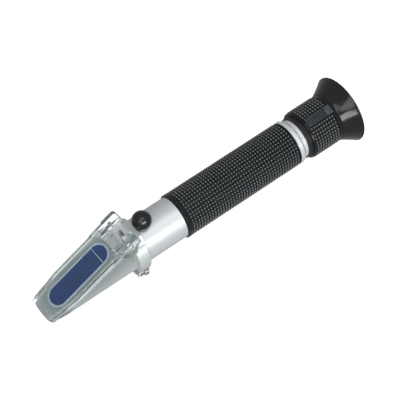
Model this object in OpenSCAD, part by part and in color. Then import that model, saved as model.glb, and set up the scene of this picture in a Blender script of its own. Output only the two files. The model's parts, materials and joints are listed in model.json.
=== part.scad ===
// Hand-held Brix refractometer with automatic temperature compensation.
// Millimetres. +X runs along the optical axis towards the eye, +Z is the side that the
// prism and its daylight plate are on. The origin is the centre of the eyecup's rim.

/* [Overall] */
// Length from the tip of the prism housing to the eyecup's rim
overall_l = 168; // [160:1:180]

/* [Prism housing] */
// Radius of the rounded underside of the housing
head_r = 10; // [9.9:0.05:10.1]
// Half width across the flat sides of the housing
head_half_w = 9.1; // [9:0.05:9.2]
// Angle between the prism's face and the optical axis
slant = 28; // [26:1:30]
// Height of the prism face at the housing's tip
tip_z = -7; // [-7.2:0.1:-6.5]
// Radius of the round collar behind the prism
collar_r = 12.3; // [12:0.1:12.8]
// Length of the collar
collar_l = 5.6; // [5.4:0.1:6]
// Half width of the hinge block on top of the collar
block_half_w = 8.2; // [8:0.1:8.6]
// Height of the hinge block's flat top above the axis
block_top_z = 13; // [12.8:0.1:13.4]

/* [Measuring prism] */
// Length of the polished prism face
prism_l = 33.3; // [31:0.1:34]
// Width of the polished prism face
prism_w = 8.9; // [8:0.1:9.2]
// Thickness of the glass
prism_t = 4.5; // [4:0.1:4.8]
// Distance from the housing's tip to the glass, along the slant
prism_start = 5.7; // [5.2:0.1:6]
// Width of the pale seal round the glass
seal_w = 0.9; // [0.7:0.1:1]

/* [Daylight plate] */
// Half width of the plate at its free end
plate_tip_half_w = 6.8; // [6.7:0.1:6.9]
// Half width of the plate over the prism
plate_half_w = 8.4; // [8.2:0.1:8.5]
// Half width over the two hinge arms
arm_half_w = 8.8; // [8.7:0.1:8.9]
// Half width of the cut between the arms
cut_half_w = 4; // [3.9:0.1:4.2]
// Height of the plate's rails above the prism face
rail_h = 1.8; // [1.6:0.1:2]
// How far the rails reach down past the prism face
rail_drop = 1.2; // [1:0.1:1.3]
// Radius of the hinge pin
pin_r = 0.8; // [0.7:0.05:0.9]

/* [Tube and grip] */
// Radius of the bare tube
tube_r = 10.1; // [9.8:0.1:10.3]
// Length of the bare tube between the collar and the grip
bare_tube_l = 21.8; // [21:0.1:23]
// Radius over the grip's studs
grip_r = 10.9; // [10.7:0.1:11.1]
// Length of the rubber grip
grip_l = 64.3; // [60:0.1:66]

/* [Focusing eyepiece] */
// Radius over the focusing ring's studs
focus_r = 11.9; // [11.7:0.1:12]
// Length of the focusing ring
focus_l = 16.4; // [15.5:0.1:17]
// Radius of the eyecup's rim
eyecup_r = 16.5; // [16:0.05:17]
// Length of the eyecup outside the focusing ring
eyecup_l = 8.5; // [8:0.1:9]

/* [Calibration] */
// Radius of the ball-shaped rubber cap
cap_r = 4.5; // [4.2:0.1:4.7]
// Height of the ball's centre above the axis
cap_z = 14.2; // [14:0.1:14.5]
// Distance from the collar back to the calibration screw
screw_back = 4.3; // [4.2:0.1:4.6]

/* [Hidden] */
$fn = 96;
FAR = 200;

// Stations along the axis
tip_x = -overall_l;
grip_back_x = -32.3;
grip_front_x = grip_back_x - grip_l;
collar_back_x = grip_front_x - bare_tube_l;
collar_front_x = collar_back_x - collar_l;
screw_x = collar_back_x + screw_back;
end_ring_back_x = grip_back_x + 2.2;
focus_back_x = -eyecup_l;
focus_front_x = focus_back_x - focus_l;
lip_front_x = focus_front_x - 2.5;

// Fits
RUN = 0.05;
GAP = 0.15;

// Hinge axis, in the part's frame
pin_x = collar_back_x - 7.5;
pin_z = 14.5;
pin_half_l = 7;
ear_r = 5.5;
pocket_r = ear_r + 0.3;
lug_half_w = cut_half_w - 0.2;
lug_r = 2.1;
screw_s = 44.6;
screw_y = 2.3;

// Prism end, measured along the slant from the tip
prism_end = prism_start + prism_l;
kink_s = 36.5;
cut_s = prism_end + seal_w + 0.6;
rebate_drop = rail_drop + 0.2;
rail_end_s = 47;
window_t = 1.05;
taper_s = 15;
arm_s = kink_s + 1.5;
groove_end_s = 44.6;
under_end_s = 43.2;
rail_w = 1.2;
tip_rail_w = 1.9;

// Bores
light_bore_r = 6;
light_bore_end_x = -146;
tube_in_r = 8.6;
spigot_r = 9;
socket_x = collar_front_x + 1.2;
under_grip_r = 9.6;
eye_bore_r = 7.6;

module along_x(x0, x1, r) {
    translate([x0, 0, 0]) rotate([0, 90, 0]) cylinder(h = x1 - x0, r = r);
}

// A ring about the optical axis
module ring_x(x0, x1, r_out, r_in) {
    difference() {
        along_x(x0, x1, r_out);
        along_x(x0 - 1, x1 + 1, r_in);
    }
}

// Turns a closed outline of [radius, x] points about the optical axis
module turned(outline) {
    rotate([0, 90, 0]) rotate_extrude() polygon(outline);
}

// A rod along Y through the point [x, z]
module along_y(x, z, half, r) {
    translate([x, half, z]) rotate([90, 0, 0]) cylinder(h = 2 * half, r = r);
}

// A box given by its two opposite corners
module box(low, high) {
    translate(low) cube(high - low);
}

// Puts children in the frame of the prism face: X up the slant, Z out of the face
module on_slant() {
    translate([tip_x, 0, tip_z]) rotate([0, -slant, 0]) children();
}

// A flat plate with round ends, from start to end along X
module stadium(start, end, width, low, high) {
    r = width / 2;
    translate([0, 0, low]) {
        translate([start + r, 0, 0]) cylinder(h = high - low, r = r);
        translate([end - r, 0, 0]) cylinder(h = high - low, r = r);
        translate([start + r, -r, 0]) cube([end - start - width, width, high - low]);
    }
}

// ---------------------------------------------------------------- prism end

module head_blank() {
    intersection() {
        union() {
            intersection() {
                along_x(tip_x, collar_front_x + 1, head_r);
                box([-FAR, -head_half_w, -20], [0, head_half_w, 20]);
            }
            box([tip_x, -head_half_w, 0], [collar_front_x + 1, head_half_w, 20]);
        }
        on_slant() box([-20, -20, -40], [80, 20, 0]);
    }
}

// Ledges on both sides of the prism face that the plate's rails drop into
module rail_rebates() {
    inner_tip = plate_tip_half_w - tip_rail_w - GAP;
    inner = plate_half_w - rail_w - GAP;
    for (side = [-1, 1]) {
        on_slant() translate([0, 0, -rebate_drop]) linear_extrude(20) polygon([
            [-3, side * inner_tip], [0, side * inner_tip], [taper_s, side * inner],
            [60, side * inner], [60, side * 20], [-3, side * 20]
        ]);
    }
}

module hinge_block() {
    chamfer = 3;
    shoulder_z = block_top_z - chamfer;
    translate([collar_front_x - 1, 0, 0]) rotate([90, 0, 90]) {
        linear_extrude(collar_l + 1) polygon([
            [-block_half_w, 0], [block_half_w, 0], [block_half_w, shoulder_z],
            [block_half_w - chamfer, block_top_z], [chamfer - block_half_w, block_top_z],
            [-block_half_w, shoulder_z]
        ]);
    }
}

module hinge_lug() {
    along_y(pin_x, pin_z, lug_half_w, lug_r);
    box([pin_x - lug_r, -lug_half_w, 8], [pin_x + lug_r, lug_half_w, pin_z]);
    box([pin_x, -lug_half_w, 10], [collar_back_x - 2.4, lug_half_w, block_top_z + 1.6]);
}

module hinge_pockets() {
    for (side = [-1, 1]) {
        translate([0, side * (lug_half_w + 5), 0]) along_y(pin_x, pin_z, 5, pocket_r);
    }
}

module prism_housing() {
    color("gainsboro") difference() {
        union() {
            difference() {
                union() {
                    head_blank();
                    along_x(collar_front_x, collar_back_x, collar_r);
                    hinge_block();
                }
                intersection() {
                    rail_rebates();
                    box([-FAR, -20, -20], [pin_x, 20, 40]);
                }
                hinge_pockets();
            }
            hinge_lug();
        }
        // Seat for the glass and its seal
        on_slant() stadium(prism_start - seal_w, prism_end + seal_w,
                           prism_w + 2 * seal_w, -3, 5);
        on_slant() stadium(prism_start, prism_end, prism_w, -prism_t, 5);
        // Light path and the socket for the tube
        along_x(light_bore_end_x, collar_back_x + 1, light_bore_r);
        along_x(socket_x, collar_back_x + 1, spigot_r);
        // Pin bore, the window that shows the pin, and the pin's set screw
        along_y(pin_x, pin_z, 10, pin_r);
        box([pin_x - 1.1, -2.6, pin_z], [pin_x + 1.1, 1, pin_z + 5]);
        on_slant() translate([screw_s, screw_y, -2.5]) cylinder(h = 5, r = 0.9);
        // Threaded holes for the foot's screws
        foot_screw_places() cylinder(h = 4, r = 0.7);
        // Seat of the seal ring
        ring_x(collar_back_x - 0.5, collar_back_x + 1, 10.4, spigot_r - 1);
    }
}

module measuring_prism() {
    exit_x = tip_x + 0.97 * prism_end * cos(slant);
    color("midnightblue") difference() {
        on_slant() stadium(prism_start, prism_end, prism_w, -prism_t, 0);
        // The exit face under the rear end is ground square to the optical axis
        box([exit_x, -20, -20], [0, 20, 8.6]);
    }
}

module prism_seal() {
    color("lightsteelblue") on_slant() difference() {
        stadium(prism_start - seal_w, prism_end + seal_w, prism_w + 2 * seal_w, -3, 0);
        stadium(prism_start, prism_end, prism_w, -4, 1);
    }
}

// The plate's outline: narrow tip, straight middle and wider hinge arms
module plate_blank() {
    translate([0, 0, -rail_drop]) linear_extrude(rail_drop + rail_h) polygon([
        [0, -plate_tip_half_w], [taper_s, -plate_half_w], [kink_s, -plate_half_w],
        [arm_s, -arm_half_w], [rail_end_s, -arm_half_w], [rail_end_s, arm_half_w],
        [arm_s, arm_half_w], [kink_s, plate_half_w], [taper_s, plate_half_w],
        [0, plate_tip_half_w]
    ]);
}

// Hollow above the window, with a groove between the ribs of each arm
module upper_hollow() {
    inner_tip = plate_tip_half_w - tip_rail_w;
    inner = plate_half_w - rail_w;
    translate([0, 0, GAP + window_t]) linear_extrude(10) union() {
        polygon([
            [-1, -inner_tip], [0, -inner_tip], [taper_s, -inner], [cut_s - 1, -inner],
            [cut_s - 1, inner], [taper_s, inner], [0, inner_tip], [-1, inner_tip]
        ]);
        for (side = [-1, 1]) {
            for (mid = [5.5, 7.1]) {
                translate([cut_s - 2, side * mid - 0.5]) square([groove_end_s - cut_s + 2, 1]);
            }
        }
    }
}

// Hollow below the window, which leaves only the rails that drop beside the prism
module lower_hollow() {
    inner_tip = plate_tip_half_w - tip_rail_w;
    inner = plate_half_w - rail_w;
    arm_inner = arm_half_w - rail_w;
    translate([0, 0, -10]) linear_extrude(10 + GAP) polygon([
        [-1, -inner_tip], [0, -inner_tip], [taper_s, -inner], [kink_s, -inner],
        [arm_s, -arm_inner], [under_end_s, -arm_inner], [under_end_s, arm_inner],
        [arm_s, arm_inner], [kink_s, inner], [taper_s, inner], [0, inner_tip],
        [-1, inner_tip]
    ]);
}

// The cut between the arms
module arm_cut() {
    box([cut_s, -cut_half_w, -12], [80, cut_half_w, 12]);
}

// Round-cornered block at the end of each arm, which turns on the pin
module plate_ears() {
    ear_low = -2.4;
    ear_out = arm_half_w + 0.15;
    for (side = [-1, 1]) {
        intersection() {
            translate([0, side * (1 + ear_out) / 2, 0]) {
                along_y(pin_x, pin_z, (ear_out - 1) / 2, ear_r);
            }
            on_slant() box([groove_end_s + 0.3, -20, ear_low], [52.3, 20, rail_h + 0.8]);
        }
    }
}

module daylight_plate() {
    color([0.85, 0.9, 0.92, 0.5]) difference() {
        union() {
            difference() {
                on_slant() plate_blank();
                on_slant() upper_hollow();
                on_slant() lower_hollow();
            }
            plate_ears();
        }
        on_slant() arm_cut();
        along_y(pin_x, pin_z, pin_half_l + 0.1, pin_r + RUN);
    }
}

module hinge_pin() {
    color("silver") along_y(pin_x, pin_z, pin_half_l, pin_r);
}

module hinge_screw() {
    color("dimgray") on_slant() translate([screw_s, screw_y, -2.5]) difference() {
        cylinder(h = 1.9, r = 0.9);
        translate([-1, -0.12, 1.5]) cube([2, 0.24, 1]);
    }
}

module foot_screw_places() {
    for (side = [-1, 1]) {
        translate([foot_screw_x, side * 6, foot_bottom_z]) children();
    }
}

foot_half_w = 9.5;
foot_front_x = collar_back_x - 4.8;
foot_back_x = collar_back_x + 0.7;
foot_screw_x = collar_back_x - 2;
foot_bottom_z = -13.8;

module foot() {
    color([0.9, 0.93, 0.95, 0.5]) difference() {
        box([foot_front_x, -foot_half_w, foot_bottom_z], [foot_back_x, foot_half_w, -5]);
        along_x(foot_front_x - 1, foot_back_x + 1, collar_r);
        foot_screw_places() translate([0, 0, -1]) cylinder(h = 8, r = 0.75);
        foot_screw_places() translate([0, 0, -1]) cylinder(h = 1.9, r = 1.4);
    }
}

module foot_screws() {
    color("silver") foot_screw_places() {
        difference() {
            translate([0, 0, 0.2]) cylinder(h = 0.7, r = 1.3);
            translate([-2, -0.15, 0]) cube([4, 0.3, 0.5]);
        }
        translate([0, 0, 0.9]) cylinder(h = 2.9, r = 0.68);
    }
}

// ---------------------------------------------------------------- tube and grip

// Rubber ring between the collar and the tube, with a thin flange over the collar's rear face
module collar_seal() {
    color("black") difference() {
        union() {
            along_x(collar_back_x - 0.5, collar_back_x, 10.4);
            along_x(collar_back_x, collar_back_x + 0.3, collar_r - 0.5);
        }
        along_x(collar_back_x - 1, collar_back_x, spigot_r);
        along_x(collar_back_x - 0.01, collar_back_x + 1, tube_r);
    }
}

module main_tube() {
    color("gainsboro") difference() {
        union() {
            along_x(socket_x, collar_back_x, spigot_r);
            along_x(collar_back_x, grip_front_x, tube_r);
            along_x(grip_front_x, grip_back_x, under_grip_r);
        }
        along_x(socket_x - 1, grip_back_x + 1, tube_in_r - 1.2);
        along_x(collar_back_x + 0.2, grip_back_x + 1, tube_in_r);
        translate([screw_x, 0, 0]) cylinder(h = 20, r = 2);
        translate([bimetal_screw_x, 0, -20]) cylinder(h = 15, r = 0.8);
    }
}

module rubber_grip() {
    color("darkslategray") difference() {
        turned([
            [5, grip_front_x], [grip_r - 0.7, grip_front_x], [grip_r, grip_front_x + 0.7],
            [grip_r, grip_back_x], [5, grip_back_x]
        ]);
        along_x(grip_front_x - 1, grip_back_x + 1, under_grip_r);
    }
}

module grip_end_ring() {
    color("silver") difference() {
        turned([
            [5, grip_back_x], [10.75, grip_back_x], [10.75, end_ring_back_x - 0.3],
            [10.45, end_ring_back_x], [5, end_ring_back_x]
        ]);
        along_x(grip_back_x - 1, end_ring_back_x + 1, 9.6);
    }
}

eye_tube_back_x = -16.2;
eye_tube_front_x = -52;
reticle_x = -50;

module eyepiece_tube() {
    color("silver") difference() {
        union() {
            along_x(eye_tube_front_x, grip_back_x, tube_in_r);
            along_x(grip_back_x, eye_tube_back_x, 9.6);
        }
        along_x(eye_tube_front_x - 1, eye_tube_back_x + 1, 6.5);
        along_x(reticle_x, eye_tube_back_x + 1, eye_bore_r);
    }
}

// ---------------------------------------------------------------- calibration

bush_flange_top = tube_r + 0.4;
neck_top = 13.1;
screw_r = 1.45;
cell_half = 5.5;

module calibration_bush() {
    color("silver") translate([screw_x, 0, 0]) difference() {
        union() {
            translate([0, 0, 7.2]) cylinder(h = tube_r - 7, r = 2);
            translate([0, 0, tube_r - 0.3]) cylinder(h = 0.7, r = 2.9);
            translate([0, 0, tube_r]) cylinder(h = neck_top - tube_r, r = 2.5);
        }
        cylinder(h = 20, r = screw_r + RUN);
        translate([-screw_x, 0, 0]) intersection() {
            along_x(collar_back_x, grip_front_x, tube_r);
            difference() {
                translate([screw_x, 0, 5]) cylinder(h = 10, r = 5);
                translate([screw_x, 0, 0]) cylinder(h = 20, r = 2);
            }
        }
    }
}

module calibration_screw() {
    color("goldenrod") translate([screw_x, 0, cell_half]) difference() {
        cylinder(h = 6.6, r = screw_r);
        translate([-2, -0.25, 5.8]) cube([4, 0.5, 2]);
    }
}

module calibration_cap() {
    color("black") translate([screw_x, 0, 0]) difference() {
        union() {
            translate([0, 0, cap_z]) sphere(r = cap_r);
            translate([0, 0, bush_flange_top]) cylinder(h = 1, r = 3.5);
        }
        translate([-6, -6, bush_flange_top - 6]) cube([12, 12, 6]);
        cylinder(h = neck_top + 0.1, r = 2.5);
        cylinder(h = neck_top + 0.9, r = 1.9);
    }
}

guide_front_x = screw_x - 4;
guide_back_x = screw_x + 4;
cell_front_x = screw_x - 3;
cell_back_x = screw_x + 3;

module objective_guide() {
    color("dimgray") difference() {
        along_x(guide_front_x, guide_back_x, tube_in_r);
        box([cell_front_x - RUN, -cell_half - RUN, -20], [cell_back_x + RUN, cell_half + RUN, 20]);
        along_x(guide_front_x - 1, guide_back_x + 1, 4.8);
        box([guide_front_x - 1, -2.2, -10], [guide_back_x + 1, 2.2, -7.2]);
    }
}

module objective_cell() {
    color("black") difference() {
        box([cell_front_x, -cell_half, -cell_half], [cell_back_x, cell_half, cell_half]);
        along_x(cell_front_x - 1, cell_back_x + 1, 4.1);
        along_x(cell_front_x + 1, cell_back_x + 1, 4.6);
    }
}

// Radius of a lens surface from its sag over the lens radius
function lens_arc_r(r, sag) = (r * r + sag * sag) / (2 * sag);

// Convex lens from x0 to x1 at its rim: inside clear_r it bulges by sag0 in front and sag1 behind
module convex_lens(x0, x1, r, clear_r, sag0, sag1) {
    big0 = lens_arc_r(clear_r, sag0);
    big1 = lens_arc_r(clear_r, sag1);
    rotate([0, 90, 0]) rotate_extrude() union() {
        translate([0, x0]) square([r, x1 - x0]);
        intersection() {
            translate([0, x0 - sag0]) square([clear_r, x1 + sag1 - x0 + sag0]);
            translate([0, x0 - sag0 + big0]) circle(r = big0, $fn = 720);
            translate([0, x1 + sag1 - big1]) circle(r = big1, $fn = 720);
        }
    }
}

crown_front_x = cell_front_x + 1.4;

module crown_lens() {
    color("lightcyan") convex_lens(crown_front_x, crown_front_x + 1.5, 4.6, 4.6, 0.4, 0.5);
}

module flint_lens() {
    flint_x = crown_front_x + 1.5;
    big = lens_arc_r(4.6, 0.5);
    color("azure") rotate([0, 90, 0]) rotate_extrude() difference() {
        translate([0, flint_x]) square([4.6, 1.4]);
        translate([0, flint_x + 0.5 - big]) circle(r = big, $fn = 720);
    }
}

module objective_ring() {
    color("black") ring_x(crown_front_x + 2.9, cell_back_x, 4.6, 3.9);
}

strip_low = -8;
strip_high = -7.5;

// Leaf spring that lifts the lens cell against the screw
module return_spring() {
    gap = -cell_half - strip_high;
    leaf_t = 0.3;
    chord = 2.1;
    leaf_r = (chord * chord + gap * gap) / (2 * gap);
    color("goldenrod") translate([screw_x, 0, -cell_half - leaf_r]) intersection() {
        rotate([90, 0, 0]) translate([0, 0, -2]) difference() {
            cylinder(h = 4, r = leaf_r);
            translate([0, 0, -1]) cylinder(h = 6, r = leaf_r - leaf_t);
        }
        translate([-5, -3, leaf_r - gap]) cube([10, 6, gap]);
    }
}

bimetal_screw_x = screw_x + 18;

module bimetal_strip() {
    color("darkgoldenrod") difference() {
        box([guide_front_x, -2, strip_low], [bimetal_screw_x + 3, 2, strip_high]);
        translate([bimetal_screw_x, 0, -10]) cylinder(h = 5, r = 0.8);
    }
}

// Screw and its spacer washer that clamp the strip's far end to the tube
module bimetal_screw() {
    color("silver") translate([bimetal_screw_x, 0, 0]) {
        translate([0, 0, -under_grip_r + 0.1]) cylinder(h = under_grip_r + strip_high - 0.1, r = 0.78);
        translate([0, 0, strip_high]) cylinder(h = 0.9, r = 1.5);
        translate([0, 0, strip_low - 0.45]) cylinder(h = 0.45, r = 1.4);
    }
}

module light_baffle() {
    color("black") difference() {
        along_x(-82, -74, tube_in_r);
        along_x(-83, -78.5, 7.8);
        along_x(-77.5, -73, 7.8);
        along_x(-79, -77, 4.4);
    }
}

// ---------------------------------------------------------------- eyepiece

module reticle() {
    color("lightyellow") along_x(reticle_x, reticle_x + 1, eye_bore_r);
}

module reticle_ring() {
    color("black") ring_x(reticle_x + 1, reticle_x + 3, eye_bore_r, 6.6);
}

cell_flange_x = -13.2;
cell_flange_t = 1.2;

module eye_lens_cell() {
    color("black") difference() {
        union() {
            along_x(-25, cell_flange_x, eye_bore_r - RUN);
            along_x(cell_flange_x, cell_flange_x + cell_flange_t, 9.2);
        }
        along_x(-27, -5, 5.6);
        along_x(-24, -5, 6.4);
    }
}

module field_lens() {
    color("lightcyan") convex_lens(-24, -22.4, 6.4, 5.5, 0.3, 1);
}

module lens_spacer() {
    color("dimgray") ring_x(-22.4, -17, 6.4, 5.8);
}

module eye_lens() {
    color("lightcyan") convex_lens(-17, -14.8, 6.4, 5.3, 0.9, 0.5);
}

module eye_lens_ring() {
    color("black") ring_x(-14.8, cell_flange_x + cell_flange_t, 6.4, 5.4);
}

barrel_shoulder_x = cell_flange_x - RUN;
spigot_back_x = -4.6;

module focus_barrel() {
    color("black") difference() {
        union() {
            turned([
                [5, lip_front_x], [10, lip_front_x], [10.3, lip_front_x + 0.3],
                [10.3, focus_front_x], [5, focus_front_x]
            ]);
            along_x(focus_front_x, focus_back_x, 10.6);
            along_x(focus_back_x, spigot_back_x, 10.3);
        }
        along_x(lip_front_x - 1, eye_tube_back_x + 2.95, 9.6 + RUN);
        along_x(-20, 0, eye_bore_r + 0.4);
        along_x(barrel_shoulder_x, 0, 9.3);
    }
}

module focus_retaining_ring() {
    color("dimgray") ring_x(cell_flange_x + cell_flange_t + RUN, -10.4, 9.3, 7.2);
}

module focus_grip() {
    color("darkslategray") difference() {
        turned([
            [5, focus_front_x], [focus_r - 0.6, focus_front_x],
            [focus_r, focus_front_x + 0.6], [focus_r, focus_back_x - 0.5],
            [focus_r - 0.3, focus_back_x], [5, focus_back_x]
        ]);
        along_x(focus_front_x - 1, focus_back_x + 1, 10.6);
    }
}

module eyecup() {
    rim = 0.7;
    color("black") difference() {
        turned([
            [5, focus_back_x], [11.6, focus_back_x], [12, focus_back_x + 0.5],
            [eyecup_r, -rim], [eyecup_r, -0.3], [eyecup_r - 0.3, 0], [5, 0]
        ]);
        turned([
            [0, -10], [9, -10], [9, spigot_back_x], [11.3, -4], [eyecup_r - 1, 0],
            [eyecup_r - 1, 1], [0, 1]
        ]);
        along_x(focus_back_x - 1, spigot_back_x, 10.3);
    }
}

prism_housing();
measuring_prism();
prism_seal();
daylight_plate();
hinge_pin();
hinge_screw();
foot();
foot_screws();
collar_seal();
main_tube();
rubber_grip();
grip_end_ring();
eyepiece_tube();
calibration_bush();
calibration_screw();
calibration_cap();
objective_guide();
objective_cell();
crown_lens();
flint_lens();
objective_ring();
return_spring();
bimetal_strip();
bimetal_screw();
light_baffle();
reticle();
reticle_ring();
eye_lens_cell();
field_lens();
lens_spacer();
eye_lens();
eye_lens_ring();
focus_barrel();
focus_retaining_ring();
focus_grip();
eyecup();
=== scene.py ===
# %% [markdown]
# # A hand-held sugar refractometer
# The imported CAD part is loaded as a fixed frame. Every rubber piece is rebuilt here with the detail that the
# real one has, every metal and glass piece gets its own procedural finish, and a soft white studio lights it.

# %% Load the frame
import json
import math

import bmesh
import bpy
from mathutils import Matrix, Vector


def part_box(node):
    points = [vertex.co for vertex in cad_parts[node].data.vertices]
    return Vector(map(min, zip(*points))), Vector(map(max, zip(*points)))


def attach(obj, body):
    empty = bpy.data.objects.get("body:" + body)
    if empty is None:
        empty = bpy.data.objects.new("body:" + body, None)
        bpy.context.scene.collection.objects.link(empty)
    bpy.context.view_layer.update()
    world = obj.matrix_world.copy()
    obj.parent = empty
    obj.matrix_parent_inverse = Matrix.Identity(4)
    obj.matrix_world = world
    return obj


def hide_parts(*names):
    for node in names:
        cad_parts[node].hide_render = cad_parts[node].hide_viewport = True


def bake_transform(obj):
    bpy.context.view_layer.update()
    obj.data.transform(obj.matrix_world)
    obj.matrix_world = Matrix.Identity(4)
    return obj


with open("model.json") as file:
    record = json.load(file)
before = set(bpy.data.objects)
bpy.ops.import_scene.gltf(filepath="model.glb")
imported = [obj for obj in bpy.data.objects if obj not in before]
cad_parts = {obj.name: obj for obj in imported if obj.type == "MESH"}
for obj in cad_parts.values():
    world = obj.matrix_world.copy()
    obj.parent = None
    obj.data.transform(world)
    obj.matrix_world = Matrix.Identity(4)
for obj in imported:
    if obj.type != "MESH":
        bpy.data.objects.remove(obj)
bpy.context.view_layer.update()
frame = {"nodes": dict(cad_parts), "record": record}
nodes = frame["nodes"]
MM = 0.001
FULL_TURN = 2 * math.pi

# %% [markdown]
# ## Shader maths
# `Sig` wraps one output socket. Adding, subtracting or multiplying signals adds the Math node for it, so a
# pattern reads like a formula. `Paint` builds one material around a Principled shader, and its `node` method
# makes any other node from a type, its settings and its inputs. No real surface is even, so nearly every one
# here drifts slowly between two colours and two roughnesses, which `mottle` and `wander` do.

# %% Signals and materials
NOISE_LOW, NOISE_HIGH = 0.3, 0.7  # most of a noise pattern lies between these two values


class Sig:
    """An output socket that can be used in arithmetic."""

    def __init__(self, paint, socket):
        self.paint = paint
        self.socket = socket

    def __add__(self, other):
        return self.paint.maths("ADD", self, other)

    def __radd__(self, other):
        return self.paint.maths("ADD", other, self)

    def __sub__(self, other):
        return self.paint.maths("SUBTRACT", self, other)

    def __rsub__(self, other):
        return self.paint.maths("SUBTRACT", other, self)

    def __mul__(self, other):
        return self.paint.maths("MULTIPLY", self, other)

    def __rmul__(self, other):
        return self.paint.maths("MULTIPLY", other, self)


def rgba(r, g, b):
    return (r, g, b, 1.0)


class Paint:
    """One material: a Principled shader with the constants given by name."""

    def __init__(self, name, **constants):
        self.material = bpy.data.materials.new(name)
        self.material.use_nodes = True
        self.tree = self.material.node_tree
        self.shader = self.tree.nodes["Principled BSDF"]
        for key, value in constants.items():
            self.shader.inputs[key.replace("_", " ")].default_value = value

    def feed(self, socket, value):
        if isinstance(value, Sig):
            self.tree.links.new(value.socket, socket)
        elif value is not None:
            socket.default_value = value

    def node(self, kind, settings=None, out=0, **inputs):
        """Adds a node. Inputs are named as on the node, with _ for a space, or by number as i0, i1."""
        made = self.tree.nodes.new("ShaderNode" + kind)
        for key, value in (settings or {}).items():
            setattr(made, key, value)
        for key, value in inputs.items():
            numbered = key[0] == "i" and key[1:].isdigit()
            self.feed(made.inputs[int(key[1:]) if numbered else key.replace("_", " ")], value)
        return Sig(self, made.outputs[out])

    def maths(self, operation, first, second, clamp=False):
        return self.node("Math", {"operation": operation, "use_clamp": clamp}, i0=first, i1=second)

    def where(self):
        """The object's own coordinates, in metres."""
        return self.node("TexCoord", out=3)

    def stretched(self, x, y, z):
        return self.node("Mapping", Vector=self.where(), Scale=(x, y, z))

    def noise(self, vector, scale, detail=3.0, rough=0.55):
        return self.node("TexNoise", Vector=vector, Scale=scale, Detail=detail, Roughness=rough)

    def span(self, value, low, high, out_low=0.0, out_high=1.0):
        """Takes low..high to out_low..out_high, and stays at the ends outside that range."""
        return self.node("MapRange", {"clamp": True}, i0=value, i1=low, i2=high, i3=out_low, i4=out_high)

    def blend(self, share, first, second):
        """Mixes two colours by a share."""
        return self.node("Mix", {"data_type": "RGBA"}, out=2, i0=share, i6=first, i7=second)

    def mottle(self, pattern, dark, light):
        """A colour that drifts between two with a noise pattern."""
        return self.blend(self.span(pattern, NOISE_LOW, NOISE_HIGH), rgba(*dark), rgba(*light))

    def wander(self, pattern, low, high):
        """A value that drifts between two with a noise pattern."""
        return self.span(pattern, NOISE_LOW, NOISE_HIGH, low, high)

    def bump(self, height, strength, distance):
        """Strength and Distance are the same all over, so they are set and not linked."""
        return self.node("Bump", Height=height, Strength=strength, Distance=distance)

    def finish(self, **links):
        for key, value in links.items():
            self.feed(self.shader.inputs[key.replace("_", " ")], value)
        return self.material

# %% [markdown]
# ## Metals
# The prism housing is a satin plated casting with a faint sandy grain, a slow grey-green drift in its colour
# and brighter worn edges. The tube is turned and satin, so its grain runs round it. A noise pattern that is
# squashed along the axis gives that grain, and costs less than modelling it. Steel and brass parts are turned
# too. Black metal parts are anodised with a fine blasted grain.

# %% Metal finishes
def cast_metal():
    p = Paint("cast_metal_satin", Metallic=0.55)
    coords = p.where()
    drift = p.noise(coords, scale=55.0)
    grain = p.noise(coords, scale=2600.0, detail=2.0)
    scuffs = p.span(p.noise(p.stretched(1.0, 5.0, 5.0), scale=420.0, detail=6.0), 0.56, 0.72)
    pointiness = p.node("NewGeometry", out=7)
    worn = p.span(pointiness, 0.52, 0.6)
    tone = p.mottle(drift, dark=(0.36, 0.41, 0.40), light=(0.44, 0.485, 0.475))
    tone = p.blend(scuffs * 0.2, tone, rgba(0.60, 0.63, 0.62))
    tone = p.blend(worn * 0.6, tone, rgba(0.86, 0.88, 0.88))
    rough = p.span(drift, 0.25, 0.75, 0.34, 0.44) - scuffs * 0.07 + grain * 0.05
    return p.finish(Base_Color=tone, Roughness=rough, Normal=p.bump(grain, strength=0.22, distance=0.00004))


def turned_metal(name, dark, light, low_rough, high_rough, metallic, squash):
    """Metal with the fine grain that a lathe leaves. Squash says how short the grain is along each axis."""
    p = Paint(name, Metallic=metallic)
    lines = p.noise(p.stretched(*squash), scale=900.0, detail=4.0)
    drift = p.noise(p.where(), scale=40.0)
    scratch = p.span(p.noise(p.stretched(2.0, 9.0, 9.0), scale=160.0, detail=7.0, rough=0.65), 0.62, 0.75)
    tone = p.blend(p.span(lines * 0.6 + drift * 0.4, 0.35, 0.65), rgba(*dark), rgba(*light))
    rough = p.wander(lines, low_rough, high_rough) + scratch * 0.08
    return p.finish(Base_Color=tone, Roughness=rough, Normal=p.bump(lines, strength=0.12, distance=0.00002))


def black_metal():
    p = Paint("black_metal_anodised", Metallic=0.35)
    grain = p.noise(p.where(), scale=3000.0, detail=2.0)
    drift = p.noise(p.where(), scale=70.0)
    tone = p.mottle(drift, dark=(0.014, 0.014, 0.015), light=(0.026, 0.026, 0.028))
    rough = p.wander(drift, 0.32, 0.45)
    return p.finish(Base_Color=tone, Roughness=rough, Normal=p.bump(grain, strength=0.25, distance=0.00003))


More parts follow.
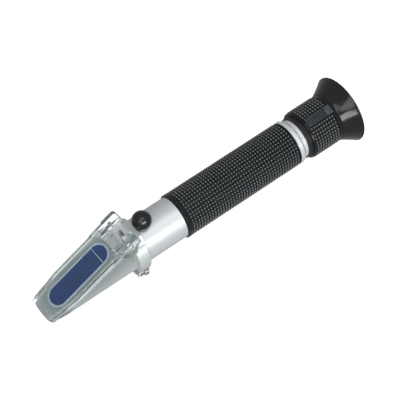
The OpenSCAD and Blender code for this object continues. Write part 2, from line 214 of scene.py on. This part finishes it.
TUBE_WHITE = ((0.70, 0.73, 0.74), (0.78, 0.80, 0.81))
BRIGHT_WHITE = ((0.80, 0.83, 0.84), (0.88, 0.90, 0.91))
STEEL_GREY = ((0.62, 0.62, 0.63), (0.78, 0.78, 0.79))
BRASS_GOLD = ((0.66, 0.46, 0.18), (0.84, 0.63, 0.3))
ROUND_X = (6.0, 0.6, 0.6)  # the grain of a piece turned about X
paints = {
    "cast_metal": cast_metal(),
    "tube_metal": turned_metal("tube_metal_satin", *TUBE_WHITE, low_rough=0.36, high_rough=0.46,
                               metallic=0.55, squash=ROUND_X),
    "steel": turned_metal("steel_polished", *STEEL_GREY, low_rough=0.16, high_rough=0.28,
                          metallic=1.0, squash=(4.0, 4.0, 1.0)),
    "brass": turned_metal("brass_turned", *BRASS_GOLD, low_rough=0.22, high_rough=0.34,
                          metallic=1.0, squash=(1.0, 1.0, 5.0)),
    "black_metal": black_metal(),
}
bright_metal = turned_metal("tube_metal_bright", *BRIGHT_WHITE, low_rough=0.32, high_rough=0.36,
                            metallic=0.5, squash=ROUND_X)
print("metals:", sorted(paints))

# %% [markdown]
# ## Rubber
# The grip's rubber is satin and nearly black, and the tips of its studs are painted paler, a painted
# highlight. A test on the distance from the axis finds all the tips at once, so none has to be painted by
# hand, and limits along the axis keep the plain rims black. The eyecup and the ball cap are smoother and
# glossier. Seals are matt.

# %% Rubber finishes
TIP_HIGHLIGHT_FROM, TIP_HIGHLIGHT_TO = 0.50 * MM, 0.05 * MM  # depths below the outer radius between which a stud's painted highlight fades in


def stud_tip_highlight(p, coords, node, front_rim, back_rim):
    """One at the tips of the studs on a CAD node, where the painted highlight goes, and none on its plain
    rims, given in millimetres.
    """
    low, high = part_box(node)
    flat = p.node("VectorMath", {"operation": "MULTIPLY"}, i0=coords, i1=(0.0, 1.0, 1.0))
    reach = p.node("VectorMath", {"operation": "LENGTH"}, out=1, i0=flat)
    along = p.node("SeparateXYZ", Vector=coords)
    behind = p.maths("GREATER_THAN", along, low.x + front_rim * MM)
    ahead = p.maths("LESS_THAN", along, high.x - back_rim * MM)
    return p.span(reach, high.z - TIP_HIGHLIGHT_FROM, high.z - TIP_HIGHLIGHT_TO) * behind * ahead


def rubber(name, dark, light, low_rough, high_rough, grain_strength, coat, highlit_studs=None):
    """Given (CAD node, front rim, back rim), the tips of its studs are painted paler: a painted highlight."""
    p = Paint(name, Specular_IOR_Level=0.3, Coat_Roughness=0.14)
    coords = p.where()
    drift = p.noise(coords, scale=90.0, detail=4.0)
    grain = p.noise(coords, scale=2200.0, detail=3.0)
    dust = p.span(p.noise(coords, scale=480.0, detail=6.0, rough=0.7), 0.58, 0.78)
    tone = p.blend(dust * 0.15, p.mottle(drift, dark, light), rgba(0.075, 0.076, 0.078))
    if highlit_studs:
        # Painted highlight: the stud tips are painted paler, in place of the light they catch.
        tone = p.blend(stud_tip_highlight(p, coords, *highlit_studs), tone, rgba(0.200, 0.215, 0.220))
    rough = p.wander(drift, low_rough, high_rough) + dust * 0.12
    shine = coat - dust * (coat * 0.6)
    sandy = p.bump(grain, strength=grain_strength, distance=0.00003)
    return p.finish(Base_Color=tone, Roughness=rough, Coat_Weight=shine, Normal=sandy)


GRIP_BLACK = ((0.004, 0.005, 0.0055), (0.008, 0.009, 0.010))
PAD_GREY = ((0.040, 0.049, 0.054), (0.060, 0.070, 0.076))
CUP_BLACK = ((0.007, 0.007, 0.0075), (0.013, 0.013, 0.014))
SEAL_BLACK = ((0.020, 0.020, 0.020), (0.034, 0.034, 0.034))
paints["grip_rubber"] = rubber("grip_rubber_satin", *GRIP_BLACK, low_rough=0.2, high_rough=0.3,
                               grain_strength=0.1, coat=0.22, highlit_studs=("rubber_grip", 2.55, 0.93))
ring_rubber = rubber("ring_rubber_satin", *GRIP_BLACK, low_rough=0.2, high_rough=0.3,
                     grain_strength=0.1, coat=0.22, highlit_studs=("focus_grip", 0.93, 1.93))
pad_rubber = rubber("pad_rubber_satin", *PAD_GREY, low_rough=0.3, high_rough=0.4,
                    grain_strength=0.1, coat=0.2)
paints["cup_rubber"] = rubber("cup_rubber_gloss", *CUP_BLACK, low_rough=0.11, high_rough=0.17,
                              grain_strength=0.05, coat=0.4)
paints["seal_rubber"] = rubber("seal_rubber_matt", *SEAL_BLACK, low_rough=0.55, high_rough=0.7,
                               grain_strength=0.3, coat=0.05)

# %% [markdown]
# ## Glass and clear plastic
# The prism is deep blue filter glass, very smooth, with slow streaks of darker and lighter blue, and a pale
# cement holds it. It is painted as a solid colour, since no light is seen to come back through it. The
# daylight plate and the foot are clear moulded acrylic with faint flow lines and fine scratches, so their
# shader lets all light through and bends it. Lenses are coated glass, and the scale disc is slightly frosted.

# %% Glass finishes
def clear_plastic():
    p = Paint("clear_plastic_moulded", IOR=1.49, Transmission_Weight=1.0)
    flow = p.noise(p.stretched(0.5, 3.0, 3.0), scale=150.0, detail=4.0)
    fine = p.noise(p.stretched(2.0, 14.0, 8.0), scale=210.0, detail=6.0, rough=0.7)
    scratches = p.span(fine, 0.62, 0.74)
    tone = p.mottle(flow, dark=(0.87, 0.915, 0.915), light=(0.93, 0.96, 0.96))
    rough = p.wander(flow, 0.01, 0.04) + scratches * 0.05
    return p.finish(Base_Color=tone, Roughness=rough, Normal=p.bump(flow, strength=0.03, distance=0.00003))


def prism_glass():
    p = Paint("prism_glass_blue", IOR=1.52, Specular_IOR_Level=0.4, Coat_Weight=0.2, Coat_Roughness=0.06)
    streaks = p.noise(p.stretched(0.6, 2.0, 1.0), scale=60.0)
    haze = p.span(p.noise(p.where(), scale=300.0), 0.5, 0.9)
    tone = p.mottle(streaks, dark=(0.004, 0.044, 0.20), light=(0.010, 0.080, 0.31))
    tone = p.blend(haze * 0.1, tone, rgba(0.08, 0.13, 0.24))
    return p.finish(Base_Color=tone, Roughness=p.wander(streaks, 0.08, 0.16) + haze * 0.1)


def pale_cement():
    p = Paint("prism_cement_pale", Specular_IOR_Level=0.5)
    drift = p.noise(p.where(), scale=190.0, detail=4.0)
    grain = p.noise(p.where(), scale=1800.0)
    tone = p.mottle(drift, dark=(0.62, 0.72, 0.84), light=(0.78, 0.86, 0.94))
    rough = p.wander(drift, 0.22, 0.36)
    return p.finish(Base_Color=tone, Roughness=rough, Normal=p.bump(grain, strength=0.2, distance=0.00004))


def lens_glass(name, tint, clear_alpha, frost):
    """Clear where it faces the eye, and denser where the surface turns away, which paints a pale sheen at the
    rim.
    """
    p = Paint(name, IOR=1.52, Specular_IOR_Level=0.8)
    smear = p.noise(p.where(), scale=260.0, detail=4.0)
    # Painted sheen: the pale layer shows more where the surface turns away from the eye.
    edge = p.node("LayerWeight", out=1, Blend=0.4)
    tone = p.mottle(smear, dark=tint, light=(0.9, 0.95, 0.93))
    rough = p.wander(smear, 0.03 + frost, 0.1 + frost)
    cover = p.maths("ADD", edge * 0.5, smear * 0.1 + clear_alpha, clamp=True)
    return p.finish(Base_Color=tone, Roughness=rough, Alpha=cover)


paints["clear_plastic"] = clear_plastic()
paints["prism_glass"] = prism_glass()
paints["prism_cement"] = pale_cement()
paints["lens_glass"] = lens_glass("lens_glass_coated", tint=(0.62, 0.7, 0.86), clear_alpha=0.16, frost=0.0)
paints["scale_glass"] = lens_glass("scale_glass_frosted", tint=(0.78, 0.86, 0.9), clear_alpha=0.34,
                                   frost=0.12)
print("all finishes:", sorted(paints))

# %% [markdown]
# ## Finishes on the CAD pieces
# Each CAD node takes the finish of its own material slot from the record, and the end ring and the eyepiece
# tube take a brighter one. The housing and two turned pieces also get a small bevel, because no real edge is
# perfectly sharp. A modifier does it, so the meshes themselves stay as the CAD made them.

# %% Finishes on the carried-over nodes
slot_of = {row["node"]: row["material_slot"] for row in frame["record"]["subparts"]}
BEVELS = {"prism_housing": 0.18, "grip_end_ring": 0.1, "focus_barrel": 0.1}
BEVEL_FROM = math.radians(32)
BRIGHT_NODES = ("grip_end_ring", "eyepiece_tube")

for name, obj in nodes.items():
    obj.data.materials.clear()
    obj.data.materials.append(bright_metal if name in BRIGHT_NODES else paints[slot_of[name]])
    if name in BEVELS:
        bevel = obj.modifiers.new("edge", "BEVEL")
        bevel.width = BEVELS[name] * MM
        bevel.segments = 2
        bevel.limit_method = "ANGLE"
        bevel.angle_limit = BEVEL_FROM
        bevel.harden_normals = True
print("finished nodes:", len(nodes))

# %% [markdown]
# ## Helpers for the pieces
# A moulded or turned piece is an outline spun about an axis, and `spun` does that. `boxed` adds a plain block
# and `soften` bevels the edges of what is there. `place` turns a finished bmesh into a piece that rides on a
# CAD body and, where asked, stands for a CAD node. Sizes come from the node's own box wherever they can.

# %% Mesh helpers
X_AXIS, Z_AXIS = Vector((1, 0, 0)), Vector((0, 0, 1))
ORIGIN = (0, 0, 0)
MERGE_WITHIN = 1e-7


def spun(bm, points, axis, steps, closed=True):
    """Spins a row of points about an axis through the origin. A closed row makes a ring."""
    verts = [bm.verts.new(point) for point in points]
    ends = verts[1:] + verts[:1] if closed else verts[1:]
    edges = [bm.edges.new(pair) for pair in zip(verts, ends)]
    bmesh.ops.spin(bm, geom=verts + edges, cent=ORIGIN, axis=axis, angle=FULL_TURN, steps=steps,
                   use_merge=True)
    bmesh.ops.remove_doubles(bm, verts=bm.verts, dist=MERGE_WITHIN)


def turned(bm, outline, steps):
    """Spins an outline of (distance along X, radius), in millimetres, about the optical axis."""
    spun(bm, [(x * MM, 0, r * MM) for x, r in outline], X_AXIS, steps)
    bmesh.ops.recalc_face_normals(bm, faces=bm.faces)


def boxed(bm, low, high):
    """Adds a block between two corners, in millimetres."""
    size = [(b - a) * MM for a, b in zip(low, high)]
    middle = [(a + b) / 2 * MM for a, b in zip(low, high)]
    made = bmesh.ops.create_cube(bm, size=1.0)
    bmesh.ops.scale(bm, verts=made["verts"], vec=size)
    bmesh.ops.translate(bm, verts=made["verts"], vec=middle)


def soften(bm, width, segments):
    """Bevels every edge by a width in millimetres."""
    bmesh.ops.bevel(bm, geom=list(bm.edges), offset=width * MM, offset_type="OFFSET", segments=segments,
                    profile=0.5, affect="EDGES", material=-1)


def span_of(node):
    """A node's two ends along X and its outer radius, in millimetres."""
    low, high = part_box(node)
    return low.x / MM, high.x / MM, high.z / MM


def smooth(mesh, degrees):
    """Shades a mesh smooth, apart from edges that turn by more than some degrees."""
    mesh.shade_smooth()
    mesh.set_sharp_from_angle(angle=math.radians(degrees))


def place(name, bm, slot, body, replaces=None, sharp=35, paint=None, bend=None):
    """With bend, the piece is baked where it stands and rides on no body; the second body, start and end that
    bend gives are not used.
    """
    bmesh.ops.recalc_face_normals(bm, faces=bm.faces)
    mesh = bpy.data.meshes.new(name)
    bm.to_mesh(mesh)
    bm.free()
    smooth(mesh, sharp)
    obj = bpy.data.objects.new(name, mesh)
    bpy.context.scene.collection.objects.link(obj)
    mesh.materials.append(paint or paints[slot])
    if bend:
        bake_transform(obj)
    else:
        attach(obj, body)
    if replaces:
        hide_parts(replaces)
    print(name, "faces:", len(mesh.polygons))
    return obj

# %% [markdown]
# ## Studded rubber
# The grip and the focusing ring carry rows of small four-sided studs, which the mould leaves standing. A tube
# with one face for each stud is spun, and every outer face is inset and raised, so each becomes a pyramid
# with a small flat top. That is quicker than making more than a thousand separate studs and joining them.

# %% Studs
STUD_PITCH = 1.47
STUD_GAP = 0.12
STUD_TAPER = 0.34
SHELL_GAP = 0.1  # how far the studs' shell stands off the sleeve's inside


def studs(bm, start, end, valley_r, top_r, around, inner_r):
    """Adds a ring of studs between two places along the axis, and returns how many there are."""
    rows = round((end - start) / STUD_PITCH)
    xs = [start + (end - start) * i / rows for i in range(rows + 1)]
    shell = bmesh.new()
    turned(shell, [(x, valley_r) for x in xs] + [(end, inner_r), (start, inner_r)], around)
    tops = []
    for face in shell.faces:
        centre = face.calc_center_median()
        radial = Vector((0, centre.y, centre.z))
        if radial.length > (valley_r + inner_r) / 2 * MM and face.normal.dot(radial.normalized()) > 0.9:
            tops.append(face)
    width = min(STUD_PITCH, FULL_TURN * valley_r / around)
    bmesh.ops.inset_individual(shell, faces=tops, thickness=STUD_GAP * MM, depth=0.0, use_even_offset=True)
    bmesh.ops.inset_individual(shell, faces=tops, thickness=width * STUD_TAPER * MM,
                               depth=(top_r - valley_r) * MM, use_even_offset=True)
    part = bpy.data.meshes.new("part")
    shell.to_mesh(part)
    shell.free()
    bm.from_mesh(part)
    bpy.data.meshes.remove(part)
    return len(tops)


def sleeve(node, inner_r, front, back):
    """The outline of a sleeve over a CAD node. Its rims, from front to back, are points given as (distance
    from that end, depth below the node's outer radius)."""
    start, end, outer_r = span_of(node)
    front_rim = [(start + step, outer_r - depth) for step, depth in front]
    back_rim = [(end - step, outer_r - depth) for step, depth in back]
    return [(start, inner_r), *front_rim, *back_rim, (end, inner_r)]


GRIP_INNER_R = 9.6
GRIP_STUD = 0.75
GRIP_BAND, GRIP_BACK = 2.3, 0.9
grip_x0, grip_x1, grip_r = span_of("rubber_grip")
bm = bmesh.new()
turned(bm, sleeve(
    "rubber_grip", GRIP_INNER_R,
    front=((0.0, GRIP_STUD), (0.25, 0.4), (0.7, 0.02), (GRIP_BAND - 0.3, 0.0), (GRIP_BAND, 0.15),
           (GRIP_BAND + 0.25, GRIP_STUD)),
    back=((GRIP_BACK, GRIP_STUD), (0.7, 0.2), (0.2, 0.15), (0.0, 0.35)),
), steps=96)
grip_studs = studs(bm, grip_x0 + GRIP_BAND + 0.3, grip_x1 - GRIP_BACK - 0.05, valley_r=grip_r - GRIP_STUD,
                   top_r=grip_r, around=40, inner_r=GRIP_INNER_R + SHELL_GAP)
place("grip_sleeve", bm, "grip_rubber", "barrel", "rubber_grip", sharp=30)
print("studs on the grip:", grip_studs)

# %% [markdown]
# ## Focusing ring
# The focusing ring has the same studs as the grip and a plain rounded rim towards the eyecup. It is made in
# the same way, with rims of its own, because on the real one the two are moulded to match.

# %% Focusing ring
RING_INNER_R = 10.6
RING_STUD = 0.7
RING_FRONT, RING_BACK = 0.9, 1.9
ring_x0, ring_x1, ring_r = span_of("focus_grip")
bm = bmesh.new()
turned(bm, sleeve(
    "focus_grip", RING_INNER_R,
    front=((0.0, RING_STUD), (0.2, 0.35), (0.6, 0.25), (RING_FRONT, RING_STUD)),
    back=((RING_BACK, RING_STUD), (1.6, 0.25), (0.4, 0.2), (0.0, 0.4)),
), steps=96)
studs(bm, ring_x0 + RING_FRONT + 0.05, ring_x1 - RING_BACK - 0.05, valley_r=ring_r - RING_STUD,
      top_r=ring_r, around=42, inner_r=RING_INNER_R + SHELL_GAP)
place("focus_ring_rubber", bm, "grip_rubber", "focus_ring", "focus_grip", sharp=30, paint=ring_rubber)

# %% [markdown]
# ## Index pad
# On one side of the ring the studs give way to a raised pad with a panel of five fine ribs in front of it,
# where a finger finds the ring. Pad, ribs and panel are blocks with bevelled edges, built on top of the ring
# and then all turned by the same angle about the axis. The panel is glossier, so it is a piece of its own.

# %% Pad, ribs and panel
RING_TILT = Matrix.Rotation(math.radians(13), 3, "X")
PAD_HALF, PANEL_HALF = 2.2, 2.3
RIBS, RIB_PITCH, RIB_HALF = 5, 0.95, 0.2

bm = bmesh.new()
boxed(bm, (ring_x1 - 4.4, -PAD_HALF, ring_r - 1.0), (ring_x1 - 1.0, PAD_HALF, ring_r + 0.05))
for i in range(RIBS):
    rib = RIB_PITCH * (i - (RIBS - 1) / 2)
    boxed(bm, (ring_x0 + 1.1, rib - RIB_HALF, ring_r - 0.9), (ring_x1 - 4.7, rib + RIB_HALF, ring_r + 0.22))
soften(bm, 0.1, segments=2)
bmesh.ops.rotate(bm, verts=bm.verts, cent=ORIGIN, matrix=RING_TILT)
place("focus_index_pad", bm, "grip_rubber", "focus_ring", sharp=40, paint=pad_rubber)

bm = bmesh.new()
boxed(bm, (ring_x0 + 1.0, -PANEL_HALF, ring_r - 1.0), (ring_x1 - 4.55, PANEL_HALF, ring_r + 0.03))
soften(bm, 0.08, segments=1)
bmesh.ops.rotate(bm, verts=bm.verts, cent=ORIGIN, matrix=RING_TILT)
place("focus_ribbed_panel", bm, "grip_rubber", "focus_ring", sharp=40, paint=paints["cup_rubber"])

# %% [markdown]
# ## Collar gasket
# A soft ring fills the seam where the collar meets the tube. Its thin black lip stands out behind the collar
# as a dark line of painted shade, the shadow line at the collar's back. It is one spun outline, the ring first
# and then the wider and thinner lip, with the outer corners slightly eased as on a moulded seal.

# %% Collar gasket
SPIGOT_R, TUBE_R, SEAT_R = 9.0, 10.1, 10.4
seal_x0, seal_x1, seal_r = span_of("collar_seal")
shade_lip_x = seal_x0 + 0.5
bm = bmesh.new()
turned(bm, [
    (seal_x0, SPIGOT_R), (seal_x0, SEAT_R - 0.05), (seal_x0 + 0.05, SEAT_R), (shade_lip_x, SEAT_R),
    # The lip: a black ring that paints the shadow line behind the collar.
    (shade_lip_x, seal_r - 0.08), (shade_lip_x + 0.06, seal_r), (seal_x1 - 0.08, seal_r), (seal_x1, seal_r - 0.09),
    (seal_x1, TUBE_R + 0.06), (seal_x1 - 0.06, TUBE_R), (shade_lip_x, TUBE_R), (shade_lip_x, SPIGOT_R),
], steps=128)
place("collar_gasket_and_shade_lip", bm, "seal_rubber", "barrel", "collar_seal")

# %% [markdown]
# ## Eyecup
# The eyecup is a thin flared rubber shell with a rolled rim and a stepped mouth. Its outside follows a power
# curve, which opens a little faster towards the rim, as the real flare does. The outline runs up the neck,
# along the flare, round the rim and back down inside the mouth.

# %% Eyecup
NECK_R = 12.0
FLARE_START, FLARE_LENGTH, FLARE_POWER, FLARE_STEPS = 0.5, 7.3, 1.12, 10
RIM = ((0.5, 0.03), (0.28, 0.0), (0.08, 0.16), (0.0, 0.45), (0.12, 0.8), (0.5, 1.15), (2.6, 3.3))
MOUTH = ((4.0, 11.2), (4.5, 9.1), (4.65, 9.0), (4.65, 10.25))
cup_x0, cup_x1, cup_r = span_of("eyecup")
flare = []
for i in range(FLARE_STEPS + 1):
    t = i / FLARE_STEPS
    flare.append((cup_x0 + FLARE_START + FLARE_LENGTH * t,
                  NECK_R + (cup_r - 0.25 - NECK_R) * t ** FLARE_POWER))
neck = [(cup_x0, 10.3), (cup_x0, 11.55), (cup_x0 + 0.2, 11.85)]
rim = [(cup_x1 - step, cup_r - depth) for step, depth in RIM]
mouth = [(cup_x1 - step, radius) for step, radius in MOUTH]
bm = bmesh.new()
turned(bm, [*neck, *flare, *rim, *mouth], steps=128)
place("eyecup_rubber", bm, "cup_rubber", "focus_ring", "eyecup", sharp=50)

# %% [markdown]
# ## Ball cap
# The cap over the zero screw is a soft ball with a skirt that is pushed over its neck, and a fine parting
# line round its middle shows where the two halves of its mould met. Half of its section is an arc of equal
# steps with two of them sunk for the line. It is spun about an upright axis and then moved to its place.

# %% Ball cap
ARC_STEP, ARC_STEPS = 5.5, 26
PARTING_STEPS, PARTING_DEPTH = (16, 17), 0.03
SKIRT_R, BORE_R = 3.5, 2.55
ball_low, ball_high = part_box("calibration_cap")
ball_x = (ball_low.x + ball_high.x) / 2
ball_r = (ball_high.x - ball_low.x) / 2 / MM
ball_z = ball_high.z / MM - ball_r
skirt_z = ball_low.z / MM
outline = [(0.0, ball_z + ball_r)]
for step in range(1, ARC_STEPS + 1):
    angle = math.radians(90 - step * ARC_STEP)
    reach = ball_r - (PARTING_DEPTH if step in PARTING_STEPS else 0.0)
    outline.append((reach * math.cos(angle), ball_z + reach * math.sin(angle)))
outline += [(SKIRT_R, skirt_z + 0.8), (SKIRT_R, skirt_z + 0.1), (SKIRT_R - 0.2, skirt_z), (BORE_R, skirt_z),
            (BORE_R, ball_z - 1.2), (1.9, ball_z - 0.4), (0.0, ball_z - 0.3)]
bm = bmesh.new()
spun(bm, [(r * MM, 0, z * MM) for r, z in outline], Z_AXIS, steps=64, closed=False)
bmesh.ops.translate(bm, verts=bm.verts, vec=(ball_x, 0, 0))
place("ball_cap", bm, "cup_rubber", "cap", "calibration_cap", sharp=40)

# %% [markdown]
# ## Small trim on the prism face
# A fine pale line crosses the prism near its rear end, and finger serrations stand on both edges of the
# plate's free end. Both lie on the slanting face, so they are built flat, with X up the slant and Z out of
# it, and one helper then tips each into the part's frame.

# %% Prism line and plate serrations
SLANT = math.radians(28)
FACE_TIP = Vector((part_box("prism_housing")[0].x, 0, -7 * MM))
LINE_START, LINE_END, LINE_HALF = 33.9, 34.2, 4.3
SERRATIONS, SERRATION_PITCH, SERRATION_LONG, SERRATION_HALF = 7, 1.05, 0.5, 0.35
PLATE_HALF, PLATE_TAPER = 6.86, 0.1067  # half the plate's width at its tip, and its growth along the slant


def onto_slant(bm):
    """Moves a bmesh from the prism face's own frame into the part's frame."""
    bmesh.ops.rotate(bm, verts=bm.verts, cent=ORIGIN, matrix=Matrix.Rotation(-SLANT, 3, "Y"))
    bmesh.ops.translate(bm, verts=bm.verts, vec=FACE_TIP)


bm = bmesh.new()
boxed(bm, (LINE_START, -LINE_HALF, -0.02), (LINE_END, LINE_HALF, 0.05))
onto_slant(bm)
place("prism_line", bm, "prism_cement", "barrel")

bm = bmesh.new()
for side in (-1, 1):
    for i in range(SERRATIONS):
        start = 1.3 + SERRATION_PITCH * i
        edge = side * (PLATE_HALF + PLATE_TAPER * (start + 0.3))
        boxed(bm, (start, edge - SERRATION_HALF, -0.9), (start + SERRATION_LONG, edge + SERRATION_HALF, 1.6))
soften(bm, 0.08, segments=1)
onto_slant(bm)
place("plate_serrations", bm, "clear_plastic", "plate")

# %% [markdown]
# ## Small trim on the tube
# A dark line of painted shade runs round the eyepiece tube right behind the end ring, where a groove holds
# shade. It is made as a thin black ring, because a cut would change a CAD piece. Inside, the scale disc
# carries its graduations, every fifth one long. On the real disc they are printed, so each is a block only a
# few hundredths of a millimetre thick.

# %% Groove and scale
GROOVE_INNER_R, GROOVE_R, GROOVE_LONG = 9.5, 9.6, 1.0
MARKS, MARK_PITCH, MARK_HALF, MARK_THICK = 33, 0.3, 0.03, 0.02
LONG_MARK, SHORT_MARK, LONG_EVERY = 2.2, 1.2, 5

ring_end = span_of("grip_end_ring")[1]
bm = bmesh.new()
turned(bm, [(ring_end, GROOVE_INNER_R), (ring_end, GROOVE_R), (ring_end + GROOVE_LONG, GROOVE_R),
            (ring_end + GROOVE_LONG, GROOVE_INNER_R)], steps=96)
# Painted shade: the groove is filled with a black ring, and the seal rubber is used only for its black.
place("end_ring_groove_shade", bm, "seal_rubber", "barrel")

scale_x = span_of("reticle")[1]
bm = bmesh.new()
for i in range(MARKS):
    half = LONG_MARK if i % LONG_EVERY == 0 else SHORT_MARK
    mark_z = MARK_PITCH * (i - (MARKS - 1) / 2)
    boxed(bm, (scale_x, -half, mark_z - MARK_HALF), (scale_x + MARK_THICK, half, mark_z + MARK_HALF))
place("scale_graduations", bm, "black_metal", "barrel")

# %% [markdown]
# ## Leaf spring
# Under the lens cell a thin metal leaf is bowed up against it. A real spring flexes when the screw drives the
# cell down, but here the leaf is baked in place and rides on no body, so it doesn't bend or follow the cell.
# Its shape is one small rectangle swept round an arc.

# %% Leaf spring
LEAF_THICK = 0.3 * MM
HALF_ARC = math.radians(86.5)
ARC_PIECES = 24
spring_low, spring_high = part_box("return_spring")
spring_x = (spring_low.x + spring_high.x) / 2
bow = (spring_high.x - spring_low.x) / 2
arc_z = spring_high.z - bow
foot_corners = ((bow - LEAF_THICK, spring_low.y), (bow, spring_low.y), (bow, spring_high.y),
                (bow - LEAF_THICK, spring_high.y))
bm = bmesh.new()
corners = [bm.verts.new((spring_x - r * math.sin(HALF_ARC), y, arc_z + r * math.cos(HALF_ARC)))
           for r, y in foot_corners]
foot_face = bm.faces.new(corners)
bmesh.ops.spin(bm, geom=[foot_face, *foot_face.verts, *foot_face.edges], cent=(spring_x, 0, arc_z),
               axis=(0, 1, 0), angle=2 * HALF_ARC, steps=ARC_PIECES)
bmesh.ops.remove_doubles(bm, verts=bm.verts, dist=MERGE_WITHIN)
spring = place("leaf_spring", bm, slot_of["return_spring"], "barrel", "return_spring", sharp=40,
               bend=("objective", (spring_x, 0, spring_low.z), (spring_x, 0, spring_high.z)))
heights = [v.co.z / MM for v in spring.data.vertices]
print("leaf spring spans z in mm:", round(min(heights), 3), "to", round(max(heights), 3))

# %% [markdown]
# ## Floor
# The object lies on a plain pale floor, touching it with the clear foot and with the eyecup's rim, so the
# floor is tipped to meet both. Most of the floor's brightness is its own, so that it stays even all over. It
# throws no light back and isn't seen in reflections, so that the undersides stay grey.

# %% Floor
FLOOR_HALF = 4.0
FLOOR_GAP = 0.05 * MM
foot_low, foot_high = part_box("foot")
touch_front = Vector((foot_high.x, 0, foot_low.z))
touch_back = Vector((0, 0, -cup_r * MM))
along = (touch_back - touch_front).normalized()
floor_up = along.cross(Vector((0, 1, 0)))
tip = Matrix((along, floor_up.cross(along), floor_up)).transposed().to_4x4()
bm = bmesh.new()
bmesh.ops.create_grid(bm, x_segments=1, y_segments=1, size=FLOOR_HALF)
bmesh.ops.transform(bm, matrix=Matrix.Translation(touch_front - floor_up * FLOOR_GAP) @ tip, verts=bm.verts)
floor_mesh = bpy.data.meshes.new("floor")
bm.to_mesh(floor_mesh)
bm.free()
floor = bpy.data.objects.new("floor", floor_mesh)
bpy.context.scene.collection.objects.link(floor)
paper = Paint("paper_white", Specular_IOR_Level=0.1, Emission_Color=rgba(1.0, 1.0, 1.0),
              Emission_Strength=0.74)
speck = paper.noise(paper.where(), scale=30.0)
white = paper.blend(speck, rgba(0.60, 0.60, 0.60), rgba(0.62, 0.62, 0.62))
floor_mesh.materials.append(paper.finish(Base_Color=white, Roughness=0.8))
floor.visible_diffuse = False
floor.visible_glossy = False
print("the floor is tipped by", round(math.degrees(floor_up.angle(Z_AXIS)), 2), "degrees")

# %% [markdown]
# ## Light
# Three large soft lights and a pale sky make an even studio light: one from above, one over the prism end and
# the strongest from the near side, on the flank of the tube. A small one in the same place as the front light
# adds crisp highlights to the rubber, which large soft lights alone would wash out.

# %% Light
MIDDLE = (-0.084, 0, 0)
FRONT_SPOT = (-0.69, -0.34, 0.65)


def soft_light(name, spot, size, power):
    """A rectangular light that points at the middle of the object."""
    light = bpy.data.lights.new(name, "AREA")
    light.shape = "RECTANGLE"
    light.size, light.size_y = size
    light.energy = power
    obj = bpy.data.objects.new(name, light)
    obj.location = spot
    obj.rotation_mode = "QUATERNION"
    obj.rotation_quaternion = (Vector(MIDDLE) - Vector(spot)).to_track_quat("-Z", "Y")
    bpy.context.scene.collection.objects.link(obj)


soft_light("top", (-0.15, -0.25, 0.9), size=(0.8, 0.5), power=2.0)
soft_light("front", FRONT_SPOT, size=(0.5, 0.36), power=1.2)
soft_light("spark", FRONT_SPOT, size=(0.16, 0.1), power=0.45)
soft_light("side", (-0.25, -0.9, 0.42), size=(0.9, 0.4), power=7.5)
world = bpy.data.worlds.new("studio")
world.use_nodes = True
sky = world.node_tree.nodes["Background"].inputs
sky["Color"].default_value = rgba(0.95, 0.97, 1.0)
sky["Strength"].default_value = 0.37
bpy.context.scene.world = world
bpy.context.scene.view_settings.view_transform = "Standard"
print("lights:", len(bpy.data.lights))

# %% [markdown]
# ## Camera
# The camera stands in front of the prism end, to one side and well above it. Its lens is long, so the far end
# is only a little smaller than the near one. Two angles give the direction from the object to the camera, and
# the camera's own axes are built from them, which keeps the horizon level.

# %% Camera
AZIMUTH, ELEVATION = math.radians(-37.934), math.radians(56.663)
DISTANCE = 0.797
outward = Vector((math.sin(AZIMUTH), -math.cos(AZIMUTH), 0))
back = outward * math.cos(ELEVATION) + Z_AXIS * math.sin(ELEVATION)
right = Vector((math.cos(AZIMUTH), math.sin(AZIMUTH), 0))
camera = bpy.data.cameras.new("camera")
camera.sensor_width = 36
camera.lens = 162
camera.shift_x, camera.shift_y = 0.00818, 0.00686
view = bpy.data.objects.new("camera", camera)
stand = Matrix((right, back.cross(right), back)).transposed().to_4x4()
stand.translation = Vector(MIDDLE) + back * DISTANCE
view.matrix_world = stand
bpy.context.scene.collection.objects.link(view)
bpy.context.scene.camera = view
print("camera at:", [round(v, 3) for v in stand.translation])
